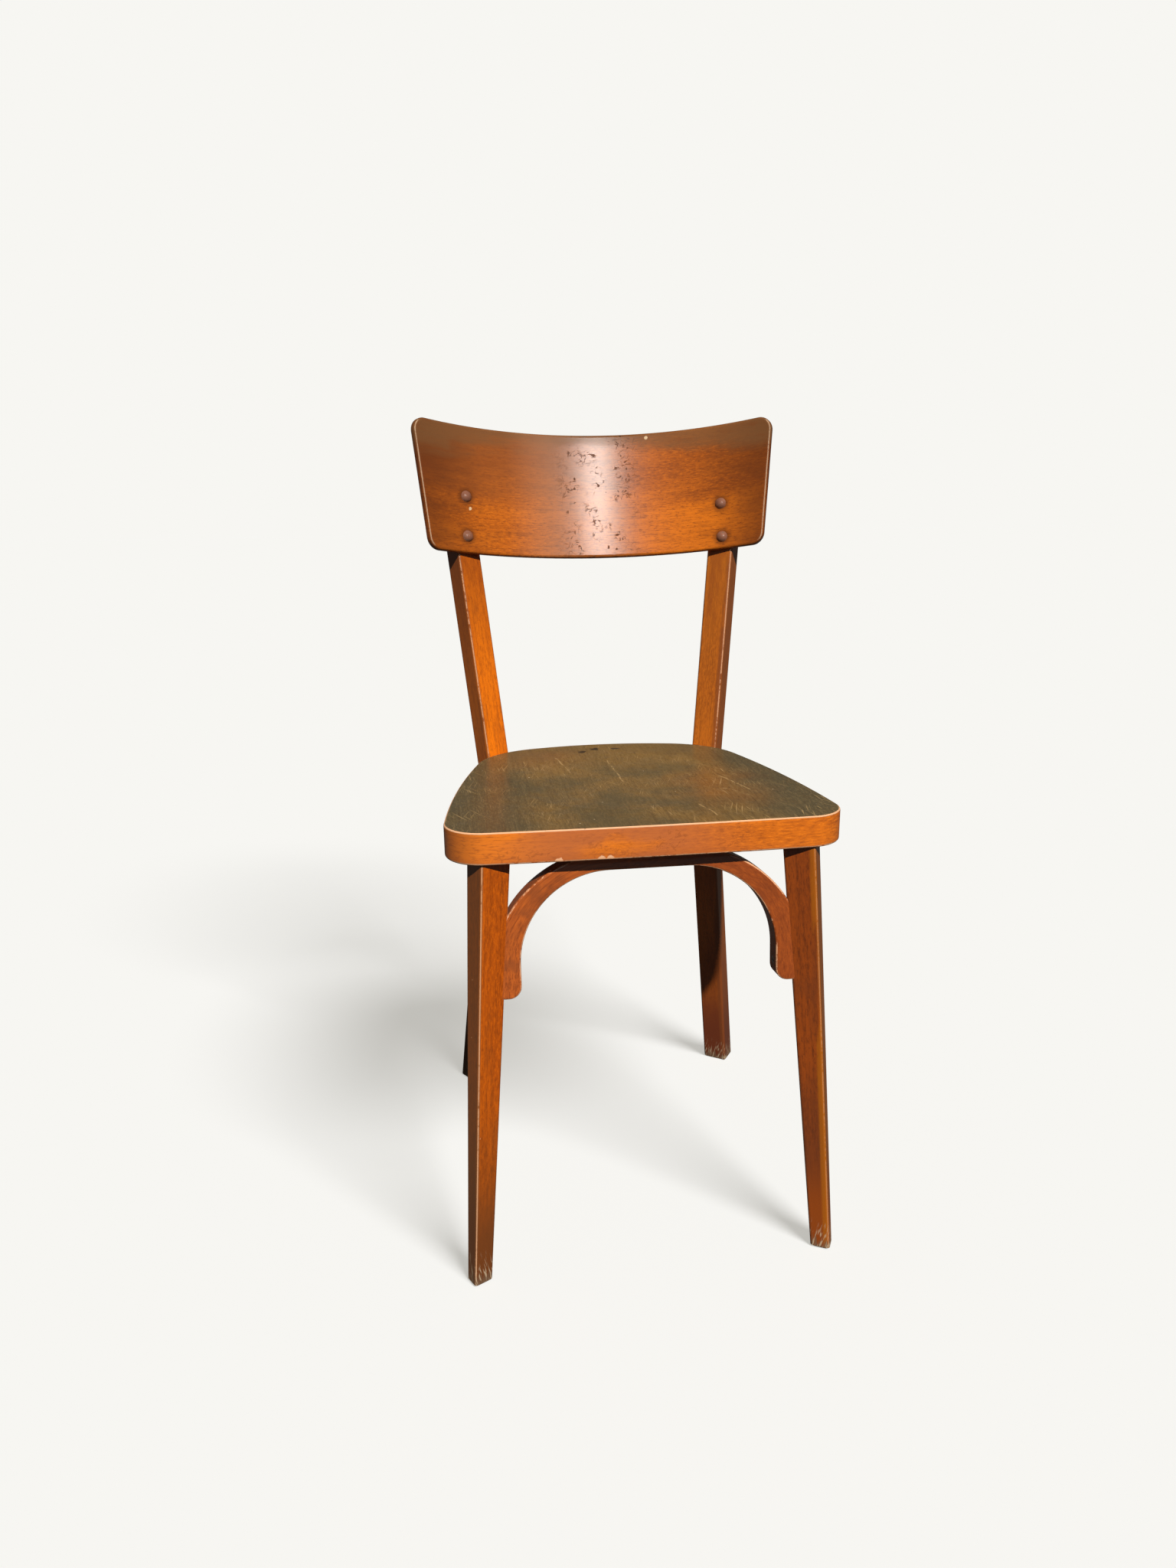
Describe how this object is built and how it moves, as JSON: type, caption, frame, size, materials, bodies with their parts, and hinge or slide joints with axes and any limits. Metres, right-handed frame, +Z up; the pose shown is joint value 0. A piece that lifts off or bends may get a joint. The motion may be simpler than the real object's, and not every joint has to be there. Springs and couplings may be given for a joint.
{
  "type": "wooden billiard chair",
  "caption": "Small bent-beech cafe or billiard-room chair: dished seat on a solid ring, splayed tapered front legs with an arched brace, raked rear legs carrying a riveted curved back.",
  "frame": {"origin": "on the floor, under the middle of the chair's bounding box", "axes": "+Z up, -Y to the front where the sitter's knees are, +X to the right seen from the front"},
  "size_m": [0.4156, 0.439, 0.8354],
  "materials": {
    "seat_wood": "worn varnish",
    "ring_wood": "worn varnish",
    "leg_wood": "worn varnish",
    "wedge_wood": "bare wood",
    "post_wood": "worn varnish",
    "brown_metal": "brown enamel",
    "steel": "dull",
    "arch_wood": "worn varnish",
    "back_wood": "gloss varnish"
  },
  "bodies": {
    "root": {"seat_panel": "seat_wood", "seat_ring": "ring_wood", "front_leg_right": "leg_wood", "front_leg_left": "leg_wood", "front_leg_wedges": "wedge_wood", "rear_leg_right": "post_wood", "rear_leg_left": "post_wood", "rear_leg_bolts": "brown_metal", "rear_leg_washers": "steel", "rear_leg_nuts": "steel", "front_arch": "arch_wood", "arch_end_screws": "steel", "arch_crown_screws": "steel", "backrest": "back_wood", "backrest_rivets": "brown_metal", "backrest_rivet_washers": "steel"}
  },
  "joints": []
}
